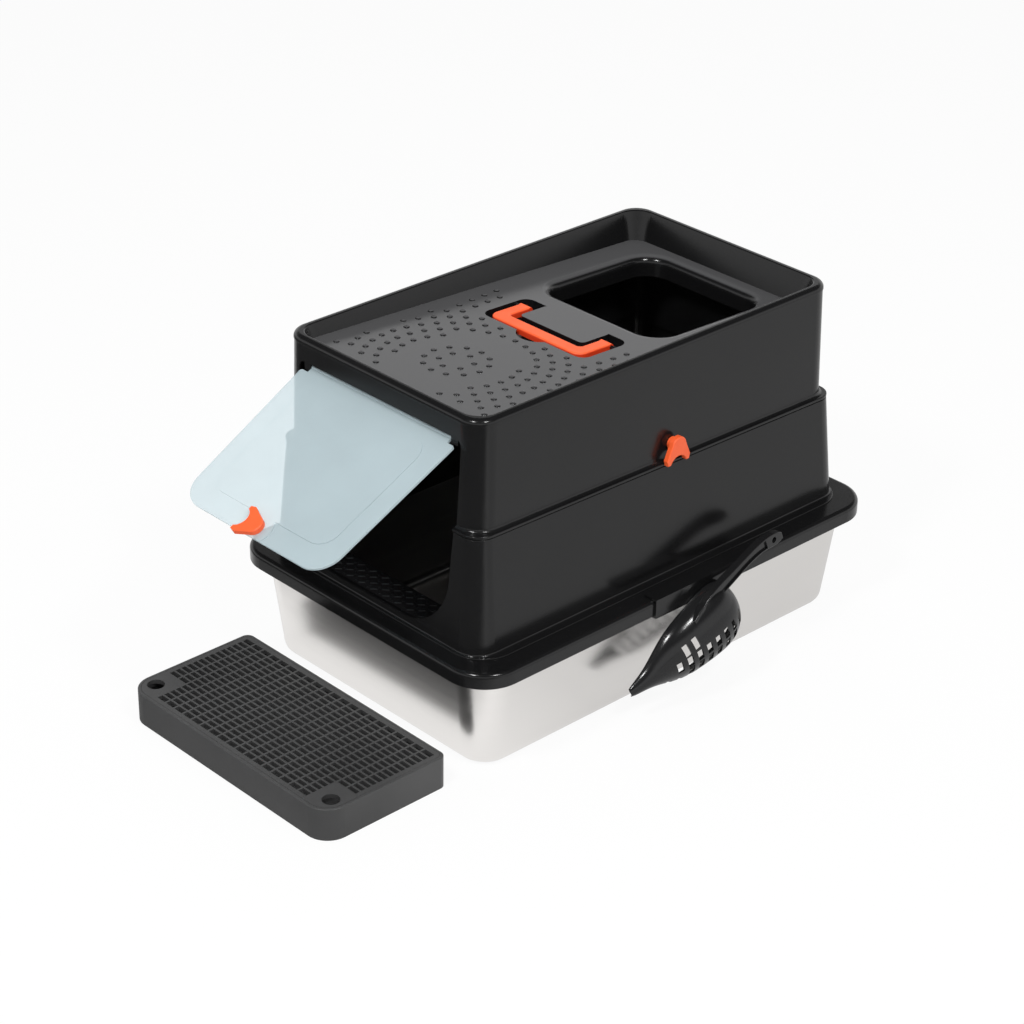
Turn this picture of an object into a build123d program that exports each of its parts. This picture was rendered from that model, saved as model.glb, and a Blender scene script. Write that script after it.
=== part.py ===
from build123d import *
import math
import os

os.makedirs("parts", exist_ok=True)

# Frame: millimetres, +Z up, front door towards -Y, origin under the pan's centre on the floor

# Rounded rectangles are (half x, half y, corner radius)
pan_foot = (170.5, 270.0, 32.0)
pan_mouth = (185.5, 284.5, 41.0)
pan_height = 130.0
pan_sheet = 1.2
pan_foot_round = 14.0
pan_rim_reach = 9.0
pan_curl = 4.0

# Lower frame: flange over the pan's rim, low plinth, sloping wall that ends below the hood's lip
flange_plan = (200.0, 300.0, 46.0)
flange_low = 116.0
flange_top = 133.0
flange_sheet = 2.7
flange_round = 5.0
wall_low_plan = (167.5, 278.0, 27.0)
wall_high_plan = (155.3, 266.5, 20.6)
wall_low = 121.0
wall_high = 270.0
wall_sheet = 2.7
wall_root_round = 2.2
plinth_plan = (176.0, 280.5, 40.0)
plinth_rise = 1.6
plinth_round = 0.9
seam_level = 262.0
seam_tilt = -1.0
wall_top_round = 0.9
lip_plan = (157.0, 268.2, 22.0)
lip_height = 3.4
lip_round = 0.9
lip_root_round = 4.0
seam_gap = 0.8
ledge_plan = (155.2, 266.3, 20.0)
ledge_reach = 5.0
ledge_top = 249.7
ledge_height = 2.6

# Entry cut through the lower frame's front wall, and the shelf behind its sill
entry_half_top = 121.4
entry_half_low = 117.0
entry_sill = 142.2
entry_corner = 66.0
entry_cut_back = -240.0
entry_cut_front = -310.0
entry_cut_top = 275.0
shelf_half = 101.0
shelf_front = -275.0
shelf_back = -232.0
shelf_top = 139.7
shelf_sheet = 2.8
shelf_lip_drop = 9.0
pad_half = 98.0
pad_front = -271.0
pad_back = -235.2
tread_length = 7.4
tread_radius = 1.6
tread_rise = 1.0
tread_pitch_x = 9.6
tread_pitch_y = 8.0
tread_columns = 20
tread_rows = 4
tread_angle = 45.0

# Hood
hood_foot_plan = (151.5, 262.5, 24.0)
hood_crown_plan = (149.0, 260.5, 25.0)
hood_low = 250.0
hood_top = 390.0
hood_sheet = 2.6
hood_rim_height = 7.5
hood_rim_reach = 0.7
hood_rim_round = 6.0
hood_rim_foot_round = 0.4
hood_rim_sheet = 4.0
tray_mouth_plan = (140.5, 252.0, 22.0)
tray_foot_plan = (127.0, 238.5, 16.0)
tray_foot_level = 350.0
tray_floor_level = 367.0
tray_floor_sheet = 3.0
tray_tilt = -2.12
tray_rim_round = 1.6
big = 800.0

# Top entry hole, in the tray floor's own tilted plane
hole_half_x = 88.0
hole_front = 50.0
hole_back = 221.0
hole_corner = 28.0
hole_lip = 10.0
hole_skirt = 24.0
hole_funnel_drop = 13.0
hole_funnel_reach = 13.0
floor_overlap = 0.6

# Domed dots on the tray floor lie on rings about one centre, odd rings turned by half a step
dot_centre_y = -154.0
dot_first = 3.0
dot_pitch = 16.05
dot_rings = 12
dots_per_ring = 6
dot_bare_ring = 3
dot_side_ring = 4
dot_side_share = 0.55
dot_limit_x = 115.0
dot_limit_front = -223.0
dot_limit_back = 10.0
dot_keep_out_x = 84.0
dot_keep_out_y = -54.0
dot_notch_x = 31.0
dot_notch_y = -66.0
dot_ball = 4.2
dot_height = 1.9

# Carry handle and the groove it lies in
groove_half_x = 78.0
groove_front = -49.0
groove_back = 20.0
groove_depth = 13.0
groove_corner = 12.0
groove_sheet = 2.6
groove_cheek = 6.0
island_half_x = 48.0
island_front = -20.0
island_corner = 6.0
notch_radius = 24.0
notch_centre_y = -37.5
notch_depth = 9.0
handle_half_x = 69.5
handle_front = -46.0
handle_arm = 15.5
handle_bar = 17.0
handle_corner = 12.0
handle_inner_corner = 5.0
handle_low = -6.5
handle_high = 0.8
handle_round = 2.0
handle_pivot_y = 2.0
handle_pivot_z = -2.85
handle_end_radius = 3.65
handle_pin_radius = 2.0
handle_pin_run = 2.06
handle_pin_in = 6.0
handle_pin_out = 4.5

# Door opening in the hood, its hinge and the flap
door_half_top = 125.3
door_half_low = 119.3
door_top = 364.0
door_corner = 8.0
hinge_y = -255.6
hinge_z = 359.3
ear_in = 108.4
ear_out = 118.5
ear_front = -259.0
ear_back = -251.5
ear_low = 354.6
ear_high = 368.0
flap_open = -62.5
flap_sheet = 2.4
flap_half_strip = 107.6
flap_half_top = 118.6
flap_half_low = 111.5
flap_shoulder = 8.5
flap_length = 197.0
flap_corner = 30.0
flap_shoulder_corner = 3.0
flap_barrel = 3.0
flap_pin_radius = 1.5
flap_pin_run = 1.55
flap_pin_in = 9.0
flap_pin_out = 9.0
panel_half_top = 94.0
panel_half_low = 90.0
panel_top = 18.0
panel_low = 171.0
panel_corner = 22.0
panel_rise = 0.8
boss_radius = 21.0
boss_centre = 186.0
boss_rise = 0.8

# Turn latch, used on the door and on both sides
latch_radius = 10.5
latch_neck_x = 10.3
latch_neck_y = 2.0
latch_wing_x = 17.0
latch_wing_y = -13.5
latch_horn_x = 15.6
latch_horn_y = -19.5
latch_notch_radius = 12.0
latch_notch_y = -23.5
latch_sheet = 6.0
latch_round = 1.3
latch_boss_radius = 7.0
latch_pin_radius = 3.0
latch_pin_run = 3.06
latch_cap_radius = 6.5
latch_cap_sheet = 2.2
latch_gap = 0.35
side_latch_y = 13.0
side_latch_z = 279.5
side_latch_plate = 157.6
side_latch_boss_end = 151.5
side_latch_cap_face = 147.9
door_latch_down = 186.0

# Scoop, laid along a tilted line beside the pan with its mouth towards it
scoop_mouth_x = 203.4
scoop_origin_y = -21.5
scoop_origin_z = 64.5
scoop_tilt = 21.2
scoop_sheet = 2.2
# Each section is (along, half width, depth)
scoop_sections = (
    (86.0, 20.0, 13.0),
    (75.0, 36.0, 25.0),
    (55.0, 43.0, 31.0),
    (30.0, 41.0, 31.0),
    (0.0, 36.0, 27.0),
    (-35.0, 20.5, 17.0),
    (-60.0, 9.5, 9.0),
    (-75.0, 4.5, 4.0),
)
scoop_back = 2.4
scoop_past = 6.0
slot_width = 7.0
slot_length = 14.0
slot_reach = 70.0
slot_pitch = 13.0
# Each row of slots is (angle, first along, count)
slot_rows = ((-30.0, -4.0, 2), (4.0, -17.0, 8), (35.0, -4.0, 7), (66.0, -30.0, 9))
# The handle lies in its own plane; each station is (along, sideways, half width)
grip_start = (24.0, 33.0, 16.0)
grip_run = 149.0
grip_drop = 12.0
grip_stations = (
    (-4.0, -1.0, 1.8),
    (12.0, 1.5, 5.5),
    (36.0, 4.0, 7.5),
    (66.0, 4.0, 7.0),
    (100.0, 3.5, 6.6),
    (125.0, -0.5, 7.8),
    (142.0, -6.5, 7.4),
    (150.0, -9.5, 4.0),
)
grip_groove_stations = (
    (16.0, 2.2, 3.6),
    (36.0, 4.0, 5.6),
    (66.0, 4.0, 5.1),
    (100.0, 3.5, 4.7),
    (124.0, -0.3, 5.6),
)
grip_low = -5.0
grip_high = 3.5
grip_round = 1.0
grip_groove_depth = 2.2
grip_hole_radius = 3.5
grip_hole_along = 136.0
grip_hole_side = -4.4

# Holder clipped over the flange's edge
holder_front = -54.0
holder_back = 32.0
holder_in = 185.5
holder_sheet = 2.5
holder_lip_low = 113.2
holder_hook_in = 195.0
tongue_start = 44.0
tongue_end = 60.0
tongue_low = 35.2
tongue_high = 37.8
tongue_reach = 8.0

# Step: litter tray with a lift-out grid
step_half_x = 162.0
step_front = -473.5
step_back = -311.5
step_height = 37.0
step_front_corner = 26.0
step_back_corner = 9.0
step_sheet = 2.8
step_floor = 2.6
step_rim = 3.4
step_ledge_reach = 4.0
step_ledge_height = 4.0
step_edge_round = 1.2
grid_gap = 0.35
grid_depth = 5.0
grid_border = 5.6
grid_columns = 21
grid_rows = 19
grid_bar = 2.3
grid_pad_columns = 2
grid_pad_rows = 5
finger_radius = 9.5
finger_inset_x = 18.0
finger_inset_y = 23.5
pad_overlap = 0.8


def grow(plan, amount):
    """The same rounded rectangle, larger by an amount all round."""
    return (plan[0] + amount, plan[1] + amount, plan[2] + amount)


def plan_face(plan, level):
    """Rounded rectangle lying at a level."""
    return Pos(0, 0, level) * RectangleRounded(2 * plan[0], 2 * plan[1], plan[2])


def slab(plan, low, height):
    """Upright block on a rounded rectangle."""
    return extrude(plan_face(plan, low), amount=height)


def tapered(low_plan, low, high_plan, high):
    """Solid with sloping walls between two rounded rectangles."""
    return loft([plan_face(low_plan, low), plan_face(high_plan, high)], ruled=True)


def block(low, high):
    """Box between two corner points."""
    centre = [(a + b) / 2 for a, b in zip(low, high)]
    size = [b - a for a, b in zip(low, high)]
    return Pos(*centre) * Box(*size)


def outline(points, radii):
    """Flat polygon with a radius at each corner named in radii."""
    face = make_face(Polyline(*points, close=True))
    for index, radius in radii.items():
        corner = face.vertices().sort_by_distance(Vector(*points[index]))[0]
        face = fillet([corner], radius)
    return face


def across(face, front, back):
    """Prism along Y from a face drawn as (x, z)."""
    plane = Plane(origin=(0, front, 0), x_dir=(1, 0, 0), z_dir=(0, -1, 0))
    return extrude(plane * face, amount=front - back)


def rod(radius, start, end):
    """Round bar between two points."""
    axis = Vector(*end) - Vector(*start)
    plane = Plane(origin=start, z_dir=axis)
    return extrude(plane * Circle(radius), amount=axis.length)


# Steel pan
pan_shell = tapered(pan_foot, 0, pan_mouth, pan_height)
pan_shell = fillet(pan_shell.edges().group_by(Axis.Z)[0], pan_foot_round)
pan_space = tapered(grow(pan_foot, -pan_sheet), pan_sheet, grow(pan_mouth, -pan_sheet), pan_height)
pan_space = fillet(pan_space.edges().group_by(Axis.Z)[0], pan_foot_round - pan_sheet)
pan_rim_plan = grow(pan_mouth, pan_rim_reach)
pan_rim = slab(pan_rim_plan, pan_height - pan_sheet, pan_sheet)
pan_lip = slab(pan_rim_plan, pan_height - pan_curl, pan_curl)
pan_lip -= slab(grow(pan_rim_plan, -pan_sheet), pan_height - pan_curl, pan_curl)
pan = pan_shell + pan_rim + pan_lip - pan_space

# Lower frame
flange = slab(flange_plan, flange_low, flange_top - flange_low)
flange = fillet(flange.edges().group_by(Axis.Z)[-1], flange_round)
flange -= slab(grow(flange_plan, -flange_sheet), flange_low, flange_top - flange_sheet - flange_low)
plinth = slab(plinth_plan, flange_top - flange_sheet, flange_sheet + plinth_rise)
plinth = fillet(plinth.edges().group_by(Axis.Z)[-1], plinth_round)
plinth_top = flange_top + plinth_rise
base_frame = flange + plinth + tapered(wall_low_plan, wall_low, wall_high_plan, wall_high)


def at_wall_root(edge):
    """True for the edges where the wall stands on the plinth."""
    tops = [vertex.Z for vertex in edge.vertices()]
    reach = max(abs(vertex.X) for vertex in edge.vertices())
    level = max(abs(top - plinth_top) for top in tops)
    return level < floor_overlap and reach < wall_low_plan[0] + flange_round


root_edges = [edge for edge in base_frame.edges() if at_wall_root(edge)]
base_frame = fillet(root_edges, wall_root_round)
# The seam to the hood drops a little towards the back
SEAM = Pos(0, 0, seam_level) * Rot(seam_tilt, 0, 0)
wall_end = -lip_height - seam_gap
base_frame -= SEAM * Pos(0, 0, big / 2 + wall_end) * Box(big, big, big)


def at_wall_end(edge):
    """True for the edges round the wall's upper end."""
    local = [SEAM.inverse() * Pos(vertex.X, vertex.Y, vertex.Z) for vertex in edge.vertices()]
    return max(abs(spot.position.Z - wall_end) for spot in local) < floor_overlap / 2


base_frame = fillet([edge for edge in base_frame.edges() if at_wall_end(edge)], wall_top_round)
wall_inside_low = grow(wall_low_plan, -wall_sheet)
wall_inside_high = grow(wall_high_plan, -wall_sheet)
base_frame -= tapered(wall_inside_low, wall_low, wall_inside_high, wall_high)
ledge = slab(ledge_plan, ledge_top - ledge_height, ledge_height)
ledge -= slab(grow(ledge_plan, -ledge_reach), ledge_top - ledge_height, ledge_height)
base_frame += ledge
entry_points = (
    (-entry_half_top, entry_cut_top),
    (entry_half_top, entry_cut_top),
    (entry_half_low, entry_sill),
    (-entry_half_low, entry_sill),
)
entry_face = outline(entry_points, {2: entry_corner, 3: entry_corner})
base_frame -= across(entry_face, entry_cut_front, entry_cut_back)
shelf_floor = shelf_top - shelf_sheet
base_frame += block((-shelf_half, shelf_front, shelf_floor), (shelf_half, shelf_back, shelf_top))
shelf_lip_front = shelf_back - shelf_sheet
base_frame += block(
    (-shelf_half, shelf_lip_front, shelf_top - shelf_lip_drop), (shelf_half, shelf_back, shelf_top)
)

# Ribbed entry pad on the shelf
entry_pad = block((-pad_half, pad_front, shelf_top), (pad_half, pad_back, entry_sill))
pad_middle = (pad_front + pad_back) / 2
treads = []
for row in range(tread_rows):
    for column in range(tread_columns):
        tread_x = (column - (tread_columns - 1) / 2) * tread_pitch_x
        tread_y = pad_middle + (row - (tread_rows - 1) / 2) * tread_pitch_y
        turn = tread_angle if (row + column) % 2 else -tread_angle
        tread = Rot(0, 0, turn) * Rot(0, 90, 0) * Cylinder(tread_radius, tread_length)
        treads.append(Pos(tread_x, tread_y, entry_sill + tread_rise - tread_radius) * tread)
entry_pad = entry_pad + treads

# Hood shell with the sunken tray
TRAY = Pos(0, 0, tray_floor_level) * Rot(tray_tilt, 0, 0)
above_floor = TRAY * Pos(0, 0, big / 2) * Box(big, big, big)
above_skin = TRAY * Pos(0, 0, big / 2 - tray_floor_sheet) * Box(big, big, big)
rim_low = hood_top - hood_rim_height
rim_band = slab(grow(hood_crown_plan, hood_rim_reach), rim_low, hood_rim_height)
rim_band = fillet(rim_band.edges().group_by(Axis.Z)[-1], hood_rim_round)
rim_band = fillet(rim_band.edges().group_by(Axis.Z)[0], hood_rim_foot_round)
hood = tapered(hood_foot_plan, hood_low, hood_crown_plan, rim_low + hood_rim_reach) + rim_band
# Lip that stands out over the seam
lip = slab(lip_plan, -lip_height, lip_height)
lip = fillet(lip.edges().group_by(Axis.Z)[-1] + lip.edges().group_by(Axis.Z)[0], lip_round)
hood += SEAM * lip


def at_lip_root(edge):
    """True for the edges where the hood's wall meets the top of its lip."""
    local = [SEAM.inverse() * Pos(vertex.X, vertex.Y, vertex.Z) for vertex in edge.vertices()]
    level = max(abs(spot.position.Z) for spot in local)
    reach = max(abs(spot.position.X) - hood_foot_plan[0] for spot in local)
    depth = max(abs(spot.position.Y) - hood_foot_plan[1] for spot in local)
    return level < floor_overlap / 2 and max(reach, depth) < floor_overlap


hood = fillet([edge for edge in hood.edges() if at_lip_root(edge)], lip_root_round)
tray_space = tapered(tray_foot_plan, tray_foot_level, tray_mouth_plan, hood_top) & above_floor
skin_foot = grow(tray_foot_plan, hood_sheet)
skin_mouth = grow(tray_mouth_plan, hood_sheet)
skin_low = tray_foot_level - tray_floor_sheet
tray_skin = tapered(skin_foot, skin_low, skin_mouth, hood_top) & above_skin
hood_space = tapered(
    grow(hood_foot_plan, -hood_sheet), hood_low, grow(hood_crown_plan, -hood_sheet), hood_top - hood_rim_sheet
)
hood = hood - (hood_space - tray_skin) - tray_space


def off_tray_mouth(vertex):
    """Distance from a corner point to the tray's mouth, or to its level if that is more."""
    side_x = abs(abs(vertex.X) - tray_mouth_plan[0])
    side_y = abs(abs(vertex.Y) - tray_mouth_plan[1])
    return max(min(side_x, side_y), abs(vertex.Z - hood_top))


rim_edges = []
for edge in hood.edges():
    if max(off_tray_mouth(vertex) for vertex in edge.vertices()) < floor_overlap / 2:
        rim_edges.append(edge)
hood = fillet(rim_edges, tray_rim_round)

# Top entry hole with its rolled lip and short skirt
hole_size_y = hole_back - hole_front
hole_plan = (hole_half_x, hole_size_y / 2, hole_corner)
HOLE = TRAY * Pos(0, (hole_front + hole_back) / 2, 0)
funnel_top = grow(hole_plan, hole_funnel_reach)
funnel_foot = grow(hole_plan, hood_sheet)
funnel = tapered(funnel_foot, -hole_funnel_drop, funnel_top, -floor_overlap)
funnel += slab(funnel_foot, -hole_skirt, hole_skirt - hole_funnel_drop)
hood += HOLE * funnel
hood -= HOLE * slab(hole_plan, -hole_skirt - hole_lip, hole_skirt + hole_lip + hole_lip)


def on_hole_lip(edge):
    """True for the hole's edges in the tray floor."""
    local = [HOLE.inverse() * Pos(vertex.X, vertex.Y, vertex.Z) for vertex in edge.vertices()]
    level = max(abs(spot.position.Z) for spot in local)
    reach = max(abs(spot.position.X) for spot in local)
    depth = max(abs(spot.position.Y) for spot in local)
    return level < floor_overlap / 2 and reach < hole_half_x + 1 and depth < hole_size_y / 2 + 1


hood = fillet([edge for edge in hood.edges() if on_hole_lip(edge)], hole_lip)

# Groove for the carry handle
groove_size_x = 2 * groove_half_x
groove_size_y = groove_back - groove_front
groove_middle = (groove_front + groove_back) / 2
well = Pos(0, groove_middle, -groove_depth - groove_sheet) * RectangleRounded(
    groove_size_x + 2 * groove_cheek, groove_size_y + 2 * groove_sheet, groove_corner
)
well = extrude(well, amount=groove_depth + groove_sheet - floor_overlap)
notch_well = Pos(0, notch_centre_y, -notch_depth - groove_sheet) * Circle(notch_radius + groove_sheet)
well += extrude(notch_well, amount=notch_depth + groove_sheet - floor_overlap)
hood += TRAY * well
groove = Pos(0, groove_middle, -groove_depth) * RectangleRounded(groove_size_x, groove_size_y, groove_corner)
groove = extrude(groove, amount=2 * groove_depth)
island_size_y = groove_back - island_front + groove_sheet
island_middle = island_front + island_size_y / 2
island = Pos(0, island_middle, -groove_depth) * RectangleRounded(
    2 * island_half_x, island_size_y, island_corner
)
groove -= extrude(island, amount=2 * groove_depth)
notch = Pos(0, notch_centre_y, -notch_depth) * Circle(notch_radius)
notch = extrude(notch, amount=2 * notch_depth)
notch -= block((-big, island_front, -big), (big, big, big))
hood -= TRAY * groove
hood -= TRAY * notch

# Pins that carry the handle, one at each arm
PIVOT = TRAY * Pos(0, handle_pivot_y, handle_pivot_z)
handle_pins = []
for side in (-1, 1):
    pin_start = side * (handle_half_x - handle_pin_in)
    pin_end = side * (groove_half_x + handle_pin_out)
    handle_pins.append(PIVOT * rod(handle_pin_radius, (pin_start, 0, 0), (pin_end, 0, 0)))
hood = hood - handle_pins

# Carry handle, a flat bow with two arms
bow_size_y = handle_pivot_y - handle_front
bow = Pos(0, handle_front + bow_size_y / 2, handle_low) * Rectangle(2 * handle_half_x, bow_size_y)
bow = fillet(bow.vertices().group_by(Axis.Y)[0], handle_corner)
bow_gap_y = bow_size_y - handle_bar
bow_gap = Pos(0, handle_pivot_y - bow_gap_y / 2, handle_low) * Rectangle(
    2 * (handle_half_x - handle_arm), bow_gap_y
)
bow_gap = fillet(bow_gap.vertices().group_by(Axis.Y)[0], handle_inner_corner)
carry_handle = extrude(bow - bow_gap, amount=handle_high - handle_low)
carry_handle = fillet(carry_handle.edges().group_by(Axis.Z)[-1], handle_round)
for side in (-1, 1):
    arm_in = side * (handle_half_x - handle_arm)
    arm_out = side * handle_half_x
    knuckle_spot = (handle_pivot_y, handle_pivot_z)
    carry_handle += rod(handle_end_radius, (arm_in, *knuckle_spot), (arm_out, *knuckle_spot))
carry_handle = TRAY * carry_handle
for side in (-1, 1):
    run_start = side * (handle_half_x - handle_pin_in - latch_gap)
    run_end = side * (handle_half_x + handle_pin_out)
    carry_handle -= PIVOT * rod(handle_pin_run, (run_start, 0, 0), (run_end, 0, 0))

# Dots of the tray floor
dot = Sphere(dot_ball) & Pos(0, 0, dot_ball) * Box(big, big, 2 * dot_height + floor_overlap)
dots = []
for ring in range(1, dot_rings + 1):
    count = dots_per_ring * ring
    for step in range(count):
        angle = 2 * math.pi * (step + ring % 2 / 2) / count
        reach = dot_first + dot_pitch * ring
        dot_x = reach * math.cos(angle)
        dot_y = dot_centre_y + reach * math.sin(angle)
        sideways = abs(math.sin(angle)) < dot_side_share
        bare = ring == dot_bare_ring or (ring == dot_side_ring and not sideways)
        inside = abs(dot_x) < dot_limit_x and dot_limit_front < dot_y < dot_limit_back
        by_handle = abs(dot_x) < dot_keep_out_x and dot_y > dot_keep_out_y
        by_notch = abs(dot_x) < dot_notch_x and dot_y > dot_notch_y
        if inside and not bare and not by_handle and not by_notch:
            dots.append(TRAY * Pos(dot_x, dot_y, dot_height - dot_ball) * dot)
hood = hood + dots

# Door opening, hinge ears and hinge pins
door_points = (
    (-door_half_low, hood_low - hood_rim_height),
    (door_half_low, hood_low - hood_rim_height),
    (door_half_top, door_top),
    (-door_half_top, door_top),
)
door_face = outline(door_points, {2: door_corner, 3: door_corner})
hood -= across(door_face, entry_cut_front, entry_cut_back)
flap_pins = []
for side in (-1, 1):
    ear_xs = sorted((side * ear_in, side * ear_out))
    hood += block((ear_xs[0], ear_front, ear_low), (ear_xs[1], ear_back, ear_high))
    pin_start = (side * (ear_in - flap_pin_in), hinge_y, hinge_z)
    pin_end = (side * (ear_in + flap_pin_out), hinge_y, hinge_z)
    flap_pins.append(rod(flap_pin_radius, pin_start, pin_end))
hood = hood - flap_pins

# Holes for the side latches' pins
for side in (-1, 1):
    hole_start = (side * hole_half_x, side_latch_y, side_latch_z)
    hole_end = (side * flange_plan[0], side_latch_y, side_latch_z)
    hood -= rod(latch_pin_run, hole_start, hole_end)

# Flap door, drawn hanging straight down from its hinge, then swung open
FLAP = Pos(0, hinge_y, hinge_z) * Rot(flap_open, 0, 0)
flap_points = (
    (-flap_half_strip, 0),
    (flap_half_strip, 0),
    (flap_half_strip, -flap_shoulder),
    (flap_half_top, -flap_shoulder),
    (flap_half_low, -flap_length),
    (-flap_half_low, -flap_length),
    (-flap_half_top, -flap_shoulder),
    (-flap_half_strip, -flap_shoulder),
)
flap_radii = {3: flap_shoulder_corner, 4: flap_corner, 5: flap_corner, 6: flap_shoulder_corner}
flap_face = outline(flap_points, flap_radii)
flap_sheet_half = flap_sheet / 2
flap_door = across(flap_face, -flap_sheet_half, flap_sheet_half)
panel_points = (
    (-panel_half_top, -panel_top),
    (panel_half_top, -panel_top),
    (panel_half_low, -panel_low),
    (-panel_half_low, -panel_low),
)
panel_face = outline(panel_points, {index: panel_corner for index in range(len(panel_points))})
flap_door += across(panel_face, -flap_sheet_half - panel_rise, flap_sheet_half)
boss_face = Pos(0, -boss_centre) * Circle(boss_radius)
flap_door += across(boss_face & flap_face, -flap_sheet_half - boss_rise, flap_sheet_half)
flap_door += rod(flap_barrel, (-flap_half_strip, 0, 0), (flap_half_strip, 0, 0))
for side in (-1, 1):
    run_start = (side * (ear_in - flap_pin_in - latch_gap), 0, 0)
    run_end = (side * (ear_in + flap_pin_out), 0, 0)
    flap_door -= rod(flap_pin_run, run_start, run_end)
latch_hole = rod(latch_pin_run, (0, -big, -door_latch_down), (0, big, -door_latch_down))
flap_door = FLAP * (flap_door - latch_hole)


def turn_latch(boss_length, pin_length):
    """Latch lying on the XY plane with its horns towards -Y and its pin towards -Z."""
    horns = Polygon(
        (-latch_neck_x, latch_neck_y),
        (-latch_wing_x, latch_wing_y),
        (-latch_horn_x, latch_horn_y),
        (latch_horn_x, latch_horn_y),
        (latch_wing_x, latch_wing_y),
        (latch_neck_x, latch_neck_y),
        align=None,
    )
    plate = Circle(latch_radius) + horns
    plate -= Pos(0, latch_notch_y) * Circle(latch_notch_radius)
    solid = extrude(plate, amount=latch_sheet)
    solid = fillet(solid.edges().group_by(Axis.Z)[-1], latch_round)
    solid += Pos(0, 0, -boss_length / 2) * Cylinder(latch_boss_radius, boss_length)
    solid += Pos(0, 0, -boss_length - pin_length / 2) * Cylinder(latch_pin_radius, pin_length)
    return solid


def latch_cap():
    """Push-on cap that keeps a latch's pin in its hole."""
    return Cylinder(latch_cap_radius, latch_cap_sheet) - Cylinder(latch_pin_radius, latch_cap_sheet)


# Side latches with their horns down over the seam
side_boss = side_latch_plate - side_latch_boss_end
side_pin = side_latch_boss_end - side_latch_cap_face + latch_cap_sheet
side_latches = {}
side_caps = {}
for name, side in (("right", 1), ("left", -1)):
    spot = (side * side_latch_plate, side_latch_y, side_latch_z)
    latch_plane = Plane(origin=spot, x_dir=(0, side, 0), z_dir=(side, 0, 0))
    cap_x = side * (side_latch_cap_face - latch_cap_sheet / 2)
    cap_plane = Plane(origin=(cap_x, side_latch_y, side_latch_z), x_dir=(0, side, 0), z_dir=(side, 0, 0))
    side_latches[name] = latch_plane.location * turn_latch(side_boss, side_pin)
    side_caps[name] = cap_plane.location * latch_cap()

# Door latch with its horns turned aside, as in the photo
door_face_y = -flap_sheet_half - boss_rise - latch_gap
door_pin = flap_sheet + boss_rise + 2 * latch_gap + latch_cap_sheet
door_plane = Plane(origin=(0, door_face_y, -door_latch_down), x_dir=(0, 0, -1), z_dir=(0, -1, 0))
door_latch = FLAP * door_plane.location * turn_latch(latch_gap, door_pin - latch_gap)
door_cap_y = flap_sheet_half + latch_gap + latch_cap_sheet / 2
door_cap_plane = Plane(origin=(0, door_cap_y, -door_latch_down), x_dir=(1, 0, 0), z_dir=(0, -1, 0))
door_latch_cap = FLAP * door_cap_plane.location * latch_cap()

# Scoop
lean = math.radians(scoop_tilt)
scoop_plane = Plane(
    origin=(scoop_mouth_x, scoop_origin_y, scoop_origin_z),
    x_dir=(0, math.cos(lean), math.sin(lean)),
    z_dir=(1, 0, 0),
)
SCOOP = scoop_plane.location


def scoop_section(along, half_width, depth, whole):
    """Half or whole ellipse standing across the scoop's length."""
    plane = Plane(origin=(along, 0, 0), x_dir=(0, 1, 0), z_dir=(1, 0, 0))
    face = Ellipse(half_width, depth)
    if not whole:
        face = face & (Pos(0, depth / 2) * Rectangle(2 * half_width, depth))
    return plane * face


bowl_faces = [scoop_section(along, half, depth, False) for along, half, depth in scoop_sections]
bowl = loft(bowl_faces)
inner_faces = []
for index, (along, half, depth) in enumerate(scoop_sections):
    shift = -scoop_back if index == 0 else 0
    shift = -scoop_past if index == len(scoop_sections) - 1 else shift
    inner_faces.append(scoop_section(along + shift, half - scoop_sheet, depth - scoop_sheet, True))
slots = []
for angle, first, count in slot_rows:
    for step in range(count):
        slot = Pos(0, 0, slot_reach / 2) * Box(slot_width, slot_length, slot_reach)
        slots.append(Pos(first + step * slot_pitch, 0, 0) * Rot(angle, 0, 0) * slot)


def strip_face(stations):
    """Flat strip whose middle and width follow a table of stations."""
    upper = [(along, side + half) for along, side, half in stations]
    lower = [(along, side - half) for along, side, half in stations]
    return make_face([Line(lower[0], upper[0]), Spline(*upper), Line(upper[-1], lower[-1]), Spline(*lower)])


grip_plane = Plane(origin=grip_start, x_dir=(grip_run, 0, -grip_drop), z_dir=(grip_drop, 0, grip_run))
grip = extrude(Pos(0, 0, grip_low) * strip_face(grip_stations), amount=grip_high - grip_low)
# The end that starts in the bowl stays square
grip_edges = grip.edges().group_by(Axis.Z)[-1].sort_by(Axis.X)[1:]
grip = fillet(grip_edges, grip_round)
grip -= extrude(Pos(0, 0, grip_high) * strip_face(grip_groove_stations), amount=-grip_groove_depth)
grip -= Pos(grip_hole_along, grip_hole_side, 0) * Cylinder(grip_hole_radius, big)
scoop = bowl + grip_plane.location * grip - loft(inner_faces)
scoop = SCOOP * (scoop - slots)

# Scoop holder: a clip over the flange's edge with a tongue for the scoop
edge_x = flange_plan[0]
holder_out = edge_x + holder_sheet
holder_top = flange_top + holder_sheet
scoop_holder = block((holder_in, holder_front, flange_top), (holder_out, holder_back, holder_top))
scoop_holder += block((edge_x, holder_front, holder_lip_low), (holder_out, holder_back, holder_top))
scoop_holder += block((holder_hook_in, holder_front, holder_lip_low), (holder_out, holder_back, flange_low))
tongue_back = edge_x - scoop_mouth_x
tongue = block((tongue_start, tongue_low, tongue_back), (tongue_end, tongue_high, tongue_reach))
scoop_holder += SCOOP * tongue

# Step
step_middle = (step_front + step_back) / 2


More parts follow.
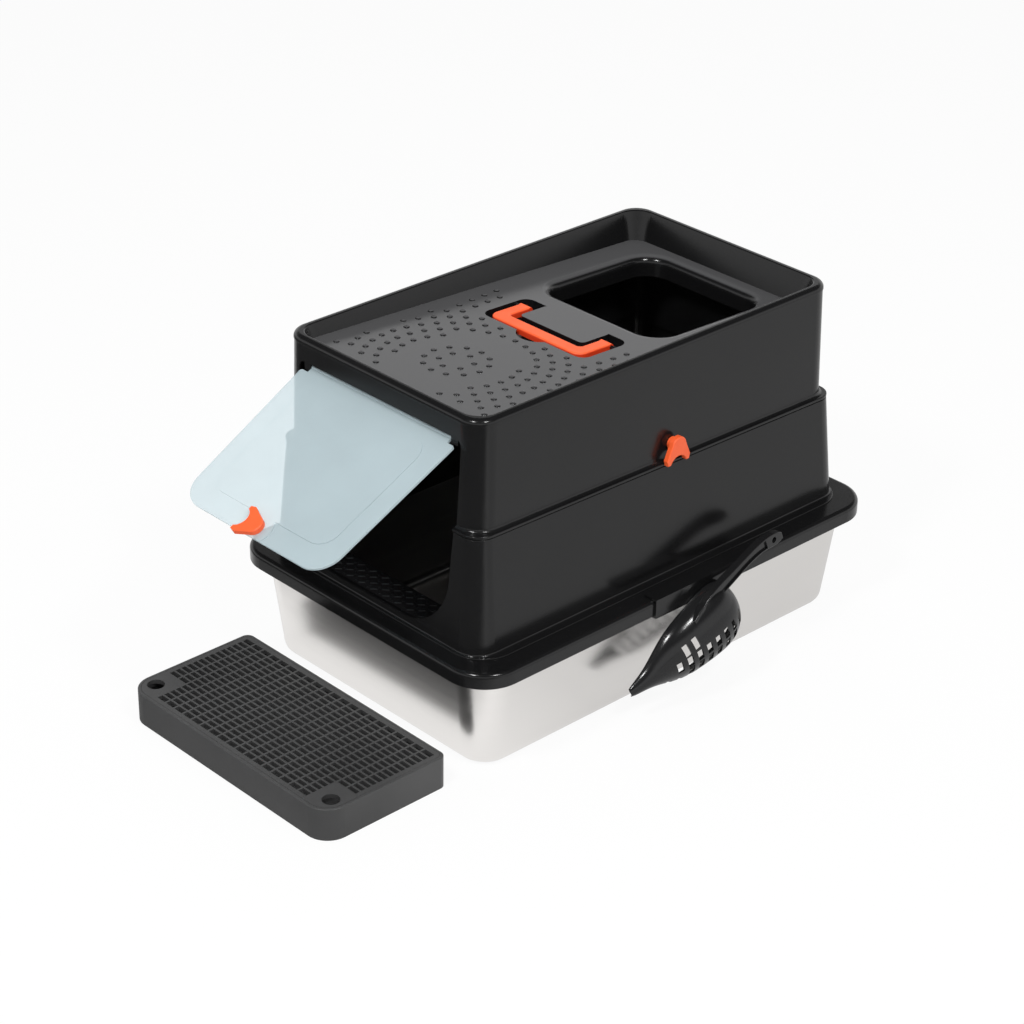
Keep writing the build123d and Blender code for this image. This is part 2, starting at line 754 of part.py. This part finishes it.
def step_face(inset, level):
    """The step's plan, smaller by an inset all round."""
    size_x = 2 * (step_half_x - inset)
    size_y = step_back - step_front - 2 * inset
    face = Rectangle(size_x, size_y)
    face = fillet(face.vertices().group_by(Axis.Y)[0], step_front_corner - inset)
    face = fillet(face.vertices().group_by(Axis.Y)[-1], step_back_corner - inset)
    return Pos(0, step_middle, level) * face


def step_block(inset, low, high):
    """Upright block on the step's plan."""
    return extrude(step_face(inset, low), amount=high - low)


grid_low = step_height - grid_depth
step_tray = step_block(0, 0, step_height)
step_tray = fillet(step_tray.edges().group_by(Axis.Z)[-1], step_edge_round)
ledge_low = grid_low - grid_gap - step_ledge_height
step_tray -= step_block(step_rim, grid_low - grid_gap, step_height)
step_tray -= step_block(step_rim + step_ledge_reach, ledge_low, grid_low)
step_tray -= step_block(step_sheet, step_floor, ledge_low)

# Lift-out grid of the step
rim_inset = step_rim + grid_gap
grid_half_x = step_half_x - rim_inset - grid_border
grid_front = step_front + rim_inset + grid_border
grid_back = step_back - rim_inset - grid_border
pitch_x = 2 * grid_half_x / grid_columns
pitch_y = (grid_back - grid_front) / grid_rows
grid_plate = step_block(rim_inset, grid_low, step_height)
grid_space = block((-grid_half_x, grid_front, grid_low), (grid_half_x, grid_back, step_height))
grid_frame = grid_plate - grid_space
bars = []
for column in range(1, grid_columns):
    bar_x = -grid_half_x + column * pitch_x
    low = (bar_x - grid_bar / 2, grid_front - pad_overlap, grid_low)
    high = (bar_x + grid_bar / 2, grid_back + pad_overlap, step_height)
    bars.append(block(low, high))
for row in range(1, grid_rows):
    bar_y = grid_front + row * pitch_y
    low = (-grid_half_x - pad_overlap, bar_y - grid_bar / 2, grid_low)
    high = (grid_half_x + pad_overlap, bar_y + grid_bar / 2, step_height)
    bars.append(block(low, high))
pad_in = grid_half_x - grid_pad_columns * pitch_x
pad_top = grid_front + grid_pad_rows * pitch_y
for side in (-1, 1):
    pad_xs = sorted((side * pad_in, side * (grid_half_x + pad_overlap)))
    low = (pad_xs[0], grid_front - pad_overlap, grid_low)
    bars.append(block(low, (pad_xs[1], pad_top, step_height)))
step_grid = (grid_frame + bars) & grid_plate
for side in (-1, 1):
    finger_spot = Pos(side * (step_half_x - finger_inset_x), step_front + finger_inset_y, step_height)
    step_grid -= finger_spot * Cylinder(finger_radius, big)

nodes = {
    "pan": pan,
    "base_frame": base_frame,
    "entry_pad": entry_pad,
    "scoop_holder": scoop_holder,
    "scoop": scoop,
    "hood": hood,
    "handle_pins": Compound(handle_pins),
    "carry_handle": carry_handle,
    "flap_pins": Compound(flap_pins),
    "flap_door": flap_door,
    "door_latch": door_latch,
    "door_latch_cap": door_latch_cap,
    "side_latch_right": side_latches["right"],
    "side_latch_cap_right": side_caps["right"],
    "side_latch_left": side_latches["left"],
    "side_latch_cap_left": side_caps["left"],
    "step_tray": step_tray,
    "step_grid": step_grid,
}
for node_name, shape in nodes.items():
    export_step(shape, "parts/" + node_name + ".step")
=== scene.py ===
import bpy
import math
from mathutils import Matrix, Vector

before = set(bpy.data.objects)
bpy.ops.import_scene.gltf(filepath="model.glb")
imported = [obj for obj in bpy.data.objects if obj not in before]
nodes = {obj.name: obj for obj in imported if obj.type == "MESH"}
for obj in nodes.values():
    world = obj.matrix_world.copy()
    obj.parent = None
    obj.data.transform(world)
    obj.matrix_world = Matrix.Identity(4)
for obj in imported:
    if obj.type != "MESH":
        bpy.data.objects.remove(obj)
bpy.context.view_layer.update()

# Camera: the direction it looks from, its lens, and where one known point falls in the picture
camera_azimuth = math.radians(46.53)
camera_elevation = math.radians(28.49)
camera_roll = math.radians(0.82)
camera_reach = 100.0
picture_side = 1024
focal_pixels = 2783.6
sensor_width = 36.0
aim_point = Vector((0.0, 0.0, 0.200))
aim_pixel = (560.6, 463.6)
aim_depth = 3.0423

# Colours, linear
white = (1.0, 1.0, 1.0, 1.0)
black_plastic_colour = (0.0065, 0.0065, 0.0068)
# Painted light: paler colour for the level faces of the hood's tray, standing in for light falling on them
# from above
tray_floor_painted_light = (0.074, 0.074, 0.076)
step_black_colour = (0.058, 0.058, 0.0585)
gloss_black_colour = (0.010, 0.010, 0.0105)
steel_colour = (0.87, 0.848, 0.826)
# Painted shade: darker steel for the pan's inner walls, standing in for the shade under the hood
steel_inside_shade_colour = (0.42, 0.410, 0.400)
pin_colour = (0.50, 0.50, 0.51)
orange_colour = (1.0, 0.140, 0.034)
orange_deep_colour = (0.93, 0.112, 0.026)
# Painted shade: deeper red for the handle's sides, standing in for the shade they lie in
handle_side_shade_colour = (0.86, 0.055, 0.012)
flap_colour = (0.59, 0.705, 0.745)
floor_colour = (0.86, 0.86, 0.86)

# Moulded skin: scales of the fine grain and of the broad flow marks, and how each noise is built up
skin_grain = 900.0
skin_flow = 9.0
grain_detail = 3.0
grain_roughness = 0.6
flow_detail = 4.0
flow_roughness = 0.55
noise_low = 0.3
noise_high = 0.7

# Black plastics: each gloss is the lowest and highest roughness, each depth a bump in metres
black_specular = 0.37
black_lighter_share = 1.25
black_bump = 0.5
satin_gloss = (0.17, 0.22)
satin_depth = 0.00004
step_gloss = (0.36, 0.44)
step_grain = 700.0
step_depth = 0.00006
polished_gloss = (0.14, 0.20)
scoop_grain = 500.0
scoop_depth = 0.00001

# Painted light on the hood's tray: how level a face is, and the heights between which it lies, for a paler
# colour standing in for light from above on the tray floor and the tops of its dots
tray_light_level = (0.72, 0.86)
tray_floor_low = (0.350, 0.354)
tray_floor_high = (0.379, 0.382)

# Orange plastic, and how level a face of the handle is where its painted side shade ends
orange_grain = 700.0
orange_flow = 30.0
orange_gloss = (0.36, 0.46)
orange_bump = 0.4
orange_depth = 0.00003
handle_shade_level = (0.2, 0.7)

# Frosted sheet of the flap
flap_alpha = 0.50
flap_grain = 1200.0
flap_flow = 14.0
flap_gloss = (0.30, 0.38)
flap_lighter_share = 1.06
flap_bump = 0.25
flap_depth = 0.00003

# Brushed steel: noise scales along and across the lines, and how far an inner wall faces the middle where
# painted shade darkens it
brush_along = 6.0
brush_across = 1400.0
line_detail = 3.0
line_roughness = 0.7
streak_shares = (0.35, 0.35, 0.12)
streak_detail = 2.0
steel_gloss = (0.23, 0.27)
steel_darker_share = 0.94
steel_anisotropy = 0.45
steel_bump = 0.10
steel_depth = 0.00002
steel_shade_facing = (-0.06, -0.01)
pin_gloss = (0.25, 0.35)
pin_brush = 300.0

# Room: light from all round, and the darker room overhead that reflections show
world_fill = 0.45
overhead_share = 0.05
horizon_top = 0.34
overhead_start = 0.50

# Floor, and the places along Y where a painted shadow darkens its reflection before the door and beside the
# box
floor_half = 40.0
floor_roughness = 0.9
floor_white_share = 0.92
floor_front_dark = -0.52
floor_front_white = -0.31
floor_front_shadow_share = 0.08
floor_side_white = -0.30
floor_side_dim = -0.10
floor_side_shadow_share = 0.74

# Each softbox is (name, azimuth, elevation, side, power, whether reflections show it)
softbox_distance = 2.6
softboxes = (
    ("key_softbox", 78.0, 50.0, 0.34, 23.0, True),
    ("front_softbox", 14.0, 50.0, 0.34, 26.0, True),
    ("top_softbox", 220.0, 70.0, 1.8, 15.0, False),
)

# Socket numbers of the colour mix node
mix_share = 0
mix_first = 6
mix_second = 7
mix_result = 2


def put(tree, kind, inputs=None, **settings):
    """Adds a node. Each input is a plain value or another node's output socket."""
    made = tree.nodes.new(kind)
    for name, value in settings.items():
        setattr(made, name, value)
    for name, value in (inputs or {}).items():
        if isinstance(value, bpy.types.NodeSocket):
            tree.links.new(value, made.inputs[name])
        else:
            made.inputs[name].default_value = value
    return made


def combined(tree, first, second, operation="MULTIPLY"):
    """Two values put through one operation, as an output socket."""
    return put(tree, "ShaderNodeMath", {0: first, 1: second}, operation=operation).outputs[0]


def ranged(tree, value, low, high, to_low, to_high):
    """A value spread over a new range and held at its ends."""
    inputs = {"Value": value, "From Min": low, "From Max": high, "To Min": to_low, "To Max": to_high}
    return put(tree, "ShaderNodeMapRange", inputs).outputs[0]


def tint(tree, share, first, second):
    """A colour between two colours."""
    mixed = put(tree, "ShaderNodeMix", data_type="RGBA")
    for number, value in ((mix_share, share), (mix_first, first), (mix_second, second)):
        socket = mixed.inputs[number]
        if isinstance(value, bpy.types.NodeSocket):
            tree.links.new(value, socket)
        else:
            socket.default_value = (*value, 1.0) if isinstance(value, tuple) else value
    return mixed.outputs[mix_result]


def upward_part(tree, vector):
    """The Z part of a vector."""
    return put(tree, "ShaderNodeSeparateXYZ", {0: vector}).outputs["Z"]


def new_group(name, inputs, outputs):
    """An empty shader group with named number sockets, and its two end nodes."""
    group = bpy.data.node_groups.new(name, "ShaderNodeTree")
    for label, value in inputs.items():
        socket = group.interface.new_socket(label, in_out="INPUT", socket_type="NodeSocketFloat")
        socket.default_value = value
    for label in outputs:
        group.interface.new_socket(label, in_out="OUTPUT", socket_type="NodeSocketFloat")
    return group, put(group, "NodeGroupInput"), put(group, "NodeGroupOutput")


def moulded_skin_group():
    """Fine grain and broad uneven gloss of a moulded face."""
    starts = {"Grain": skin_grain, "Flow": skin_flow}
    group, start, end = new_group("moulded_skin", starts, ["Height", "Gloss"])
    place = put(group, "ShaderNodeTexCoord").outputs["Object"]
    fine = put(group, "ShaderNodeTexNoise", {"Vector": place, "Scale": start.outputs["Grain"],
                                             "Detail": grain_detail, "Roughness": grain_roughness})
    broad = put(group, "ShaderNodeTexNoise", {"Vector": place, "Scale": start.outputs["Flow"],
                                              "Detail": flow_detail, "Roughness": flow_roughness})
    group.links.new(fine.outputs[0], end.inputs["Height"])
    gloss = ranged(group, broad.outputs[0], noise_low, noise_high, 0.0, 1.0)
    group.links.new(gloss, end.inputs["Gloss"])
    return group


def brushed_lines_group():
    """Long fine scratches that run level round a piece."""
    starts = {"Along": brush_along, "Across": brush_across}
    group, start, end = new_group("brushed_lines", starts, ["Line", "Streak"])
    place = put(group, "ShaderNodeTexCoord").outputs["Object"]
    stretch = put(group, "ShaderNodeCombineXYZ", {"X": start.outputs["Along"], "Y": start.outputs["Along"],
                                                  "Z": start.outputs["Across"]})
    drawn = put(group, "ShaderNodeVectorMath", {0: place, 1: stretch.outputs[0]}, operation="MULTIPLY")
    line = put(group, "ShaderNodeTexNoise", {"Vector": drawn.outputs[0], "Scale": 1.0, "Detail": line_detail,
                                             "Roughness": line_roughness})
    coarse = put(group, "ShaderNodeVectorMath", {0: drawn.outputs[0], 1: streak_shares}, operation="MULTIPLY")
    streak = put(group, "ShaderNodeTexNoise", {"Vector": coarse.outputs[0], "Scale": 1.0,
                                               "Detail": streak_detail})
    group.links.new(line.outputs[0], end.inputs["Line"])
    group.links.new(streak.outputs[0], end.inputs["Streak"])
    return group


moulded_skin = moulded_skin_group()
brushed_lines = brushed_lines_group()


def new_material(name):
    """A material with one Principled shader, its tree and that shader."""
    material = bpy.data.materials.new(name)
    material.use_nodes = True
    tree = material.node_tree
    return material, tree, tree.nodes["Principled BSDF"]


def use_group(tree, group, **values):
    """Places a shared group with this material's own values."""
    made = put(tree, "ShaderNodeGroup", node_tree=group)
    for name, value in values.items():
        made.inputs[name].default_value = value
    return made


def bumped(tree, shader, height, strength, distance):
    """Feeds a height to the shader's normal."""
    made = put(tree, "ShaderNodeBump", {"Height": height, "Strength": strength, "Distance": distance})
    tree.links.new(made.outputs[0], shader.inputs["Normal"])


def recolour(tree, mask, colour):
    """Lays a second colour over a material's own, where the mask is 1."""
    base = tree.nodes["Principled BSDF"].inputs["Base Color"]
    plain = base.links[0].from_socket
    tree.links.new(tint(tree, mask, plain, colour), base)


def satin_black(name, colour, gloss, grain=skin_grain, depth=satin_depth):
    """Moulded black plastic. gloss is its lowest and highest roughness."""
    material, tree, shader = new_material(name)
    skin = use_group(tree, moulded_skin, Grain=grain)
    lighter = tuple(black_lighter_share * part for part in colour)
    tree.links.new(tint(tree, skin.outputs["Gloss"], colour, lighter), shader.inputs["Base Color"])
    rough = ranged(tree, skin.outputs["Gloss"], 0.0, 1.0, *gloss)
    tree.links.new(rough, shader.inputs["Roughness"])
    shader.inputs["Specular IOR Level"].default_value = black_specular
    bumped(tree, shader, skin.outputs["Height"], black_bump, depth)
    return material


def hood_black():
    """The hood's satin black, with painted light: the level faces of its tray, floor and dot tops, get a
    paler colour.
    """
    material = satin_black("hood_black", black_plastic_colour, satin_gloss)
    tree = material.node_tree
    where = put(tree, "ShaderNodeTexCoord")
    level = ranged(tree, upward_part(tree, where.outputs["Normal"]), *tray_light_level, 0.0, 1.0)
    height = upward_part(tree, where.outputs["Object"])
    above = ranged(tree, height, *tray_floor_low, 0.0, 1.0)
    below = ranged(tree, height, *tray_floor_high, 1.0, 0.0)
    # Painted light: level faces in the tray between these heights are paler, as light from above would make
    # them look
    recolour(tree, combined(tree, level, combined(tree, above, below)), tray_floor_painted_light)
    return material


def orange_plastic(name):
    """Semi-gloss orange plastic of the handle and the latches."""
    material, tree, shader = new_material(name)
    skin = use_group(tree, moulded_skin, Grain=orange_grain, Flow=orange_flow)
    colour = tint(tree, skin.outputs["Gloss"], orange_colour, orange_deep_colour)
    tree.links.new(colour, shader.inputs["Base Color"])
    rough = ranged(tree, skin.outputs["Gloss"], 0.0, 1.0, *orange_gloss)
    tree.links.new(rough, shader.inputs["Roughness"])
    bumped(tree, shader, skin.outputs["Height"], orange_bump, orange_depth)
    return material


def handle_orange():
    """The handle's orange, with painted shade: a deeper red on its sides."""
    material = orange_plastic("handle_orange")
    tree = material.node_tree
    normal = put(tree, "ShaderNodeTexCoord").outputs["Normal"]
    mask = ranged(tree, upward_part(tree, normal), *handle_shade_level, 1.0, 0.0)
    # Painted shade: faces that are not level get the deeper red of a shaded side
    recolour(tree, mask, handle_side_shade_colour)
    return material


def frosted_sheet():
    """Milky clear sheet of the flap."""
    material, tree, shader = new_material("frosted_sheet")
    skin = use_group(tree, moulded_skin, Grain=flap_grain, Flow=flap_flow)
    lighter = tuple(flap_lighter_share * part for part in flap_colour)
    tree.links.new(tint(tree, skin.outputs["Gloss"], flap_colour, lighter), shader.inputs["Base Color"])
    rough = ranged(tree, skin.outputs["Gloss"], 0.0, 1.0, *flap_gloss)
    tree.links.new(rough, shader.inputs["Roughness"])
    shader.inputs["Alpha"].default_value = flap_alpha
    bumped(tree, shader, skin.outputs["Height"], flap_bump, flap_depth)
    return material


def brushed_steel(name, colour, gloss, along=brush_along, across=brush_across):
    """Brushed stainless sheet."""
    material, tree, shader = new_material(name)
    lines = use_group(tree, brushed_lines, Along=along, Across=across)
    darker = tuple(steel_darker_share * part for part in colour)
    tree.links.new(tint(tree, lines.outputs["Line"], colour, darker), shader.inputs["Base Color"])
    rough = ranged(tree, lines.outputs["Streak"], noise_low, noise_high, *gloss)
    tree.links.new(rough, shader.inputs["Roughness"])
    shader.inputs["Metallic"].default_value = 1.0
    shader.inputs["Anisotropic"].default_value = steel_anisotropy
    bumped(tree, shader, lines.outputs["Line"], steel_bump, steel_depth)
    return material


def pan_steel():
    """The pan's brushed sheet, with painted shade darkening the inside of its walls."""
    material = brushed_steel("pan_steel", steel_colour, steel_gloss)
    tree = material.node_tree
    where = put(tree, "ShaderNodeTexCoord")
    outward = put(tree, "ShaderNodeVectorMath", {0: where.outputs["Object"], 1: (1.0, 1.0, 0.0)},
                  operation="MULTIPLY").outputs[0]
    facing = put(tree, "ShaderNodeVectorMath", {0: where.outputs["Normal"], 1: outward},
                 operation="DOT_PRODUCT").outputs["Value"]
    # Painted shade: faces that point inward towards the middle get the darker steel
    recolour(tree, ranged(tree, facing, *steel_shade_facing, 1.0, 0.0), steel_inside_shade_colour)
    return material


def dress(names, material):
    """Gives CAD nodes a material."""
    for name in names:
        data = nodes[name].data
        data.materials.clear()
        data.materials.append(material)


dress(["hood"], hood_black())
dress(["base_frame", "scoop_holder", "handle_pins"],
      satin_black("satin_black", black_plastic_colour, satin_gloss))
dress(["step_tray", "step_grid"],
      satin_black("step_black", step_black_colour, step_gloss, step_grain, step_depth))
dress(["entry_pad"], satin_black("ribbed_black", gloss_black_colour, polished_gloss))
dress(["scoop"], satin_black("polished_black", gloss_black_colour, polished_gloss, scoop_grain, scoop_depth))
dress(["carry_handle"], handle_orange())
dress(["door_latch", "door_latch_cap", "side_latch_right", "side_latch_cap_right", "side_latch_left",
       "side_latch_cap_left"], orange_plastic("orange_plastic"))
dress(["flap_door"], frosted_sheet())
dress(["pan"], pan_steel())
dress(["flap_pins"], brushed_steel("pin_steel", pin_colour, pin_gloss, pin_brush, pin_brush))


def seen_rays(tree):
    """Masks of the rays that look straight or through a clear piece, and of those in a reflection."""
    path = put(tree, "ShaderNodeLightPath")
    straight = combined(tree, path.outputs["Is Camera Ray"], path.outputs["Is Transmission Ray"], "MAXIMUM")
    return straight, path.outputs["Is Glossy Ray"]


def make_world():
    """Even fill light and a white backdrop, with a darker room over it in reflections."""
    world = bpy.data.worlds.new("studio")
    world.use_nodes = True
    bpy.context.scene.world = world
    tree = world.node_tree
    straight, mirrored = seen_rays(tree)
    height = upward_part(tree, put(tree, "ShaderNodeTexCoord").outputs["Generated"])
    room = ranged(tree, height, horizon_top, overhead_start, 1.0, overhead_share)
    reflected = combined(tree, mirrored, room)
    unseen = combined(tree, 1.0, combined(tree, straight, mirrored, "MAXIMUM"), "SUBTRACT")
    level = combined(tree, combined(tree, unseen, world_fill), reflected, "ADD")
    level = combined(tree, level, straight, "MAXIMUM")
    background = tree.nodes["Background"]
    background.inputs["Color"].default_value = white
    tree.links.new(level, background.inputs["Strength"])


def make_floor():
    """Pale floor that keeps a faint shadow, with a painted shadow that darkens it in reflections before the
    door and beside the box.
    """
    mesh = bpy.data.meshes.new("floor")
    corners = [(-floor_half, -floor_half, 0.0), (floor_half, -floor_half, 0.0),
               (floor_half, floor_half, 0.0), (-floor_half, floor_half, 0.0)]
    mesh.from_pydata(corners, [], [(0, 1, 2, 3)])
    floor = bpy.data.objects.new("floor", mesh)
    bpy.context.scene.collection.objects.link(floor)
    material, tree, shader = new_material("floor_white")
    shader.inputs["Base Color"].default_value = (*floor_colour, 1.0)
    shader.inputs["Roughness"].default_value = floor_roughness
    shader.inputs["Specular IOR Level"].default_value = 0.0
    straight, mirrored = seen_rays(tree)
    place = put(tree, "ShaderNodeTexCoord").outputs["Object"]
    along = put(tree, "ShaderNodeSeparateXYZ", {0: place}).outputs["Y"]
    # Painted shadow: the floor that reflections show is darker before the door and beside the box
    front = ranged(tree, along, floor_front_dark, floor_front_white, floor_front_shadow_share, 1.0)
    side = ranged(tree, along, floor_side_white, floor_side_dim, 1.0, floor_side_shadow_share)
    reflected = combined(tree, mirrored, combined(tree, front, side))
    strength = combined(tree, straight, reflected, "MAXIMUM")
    glow = put(tree, "ShaderNodeEmission", {"Color": white, "Strength": strength})
    seen = combined(tree, combined(tree, straight, mirrored, "MAXIMUM"), floor_white_share)
    mixed = put(tree, "ShaderNodeMixShader", {0: seen, 1: shader.outputs[0], 2: glow.outputs[0]})
    tree.links.new(mixed.outputs[0], tree.nodes["Material Output"].inputs["Surface"])
    mesh.materials.append(material)


def away(azimuth, elevation):
    """Direction from the object. Azimuth 0 is in front of the door, a quarter turn is by the scoop."""
    level = math.cos(elevation)
    return Vector((math.sin(azimuth) * level, -math.cos(azimuth) * level, math.sin(elevation)))


def make_softbox(name, azimuth, elevation, side, power, mirrored):
    """A square lamp that faces the object, with its angles in degrees."""
    back = away(math.radians(azimuth), math.radians(elevation))
    data = bpy.data.lights.new(name, "AREA")
    data.shape = "SQUARE"
    data.size = side
    data.energy = power
    lamp = bpy.data.objects.new(name, data)
    lamp.location = aim_point + back * softbox_distance
    lamp.visible_glossy = mirrored
    lamp.rotation_mode = "QUATERNION"
    lamp.rotation_quaternion = (-back).to_track_quat("-Z", "Y")
    bpy.context.scene.collection.objects.link(lamp)


def make_camera():
    """Camera at the photo's angle, turned about its own axis by a small roll."""
    back = away(camera_azimuth, camera_elevation)
    level = Vector((math.cos(camera_azimuth), math.sin(camera_azimuth), 0.0))
    upward = back.cross(level)
    right = math.cos(camera_roll) * level + math.sin(camera_roll) * upward
    top = math.cos(camera_roll) * upward - math.sin(camera_roll) * level
    across = (aim_pixel[0] - picture_side / 2) / focal_pixels * aim_depth
    above = (picture_side / 2 - aim_pixel[1]) / focal_pixels * aim_depth
    data = bpy.data.cameras.new("camera")
    data.sensor_width = sensor_width
    data.lens = focal_pixels / picture_side * sensor_width
    data.clip_end = camera_reach
    camera = bpy.data.objects.new("camera", data)
    place = aim_point - across * right - above * top + aim_depth * back
    camera.matrix_world = Matrix((right, top, back)).transposed().to_4x4()
    camera.location = place
    bpy.context.scene.collection.objects.link(camera)
    bpy.context.scene.camera = camera


make_world()
make_floor()
for softbox in softboxes:
    make_softbox(*softbox)
make_camera()
bpy.context.scene.view_settings.view_transform = "Standard"
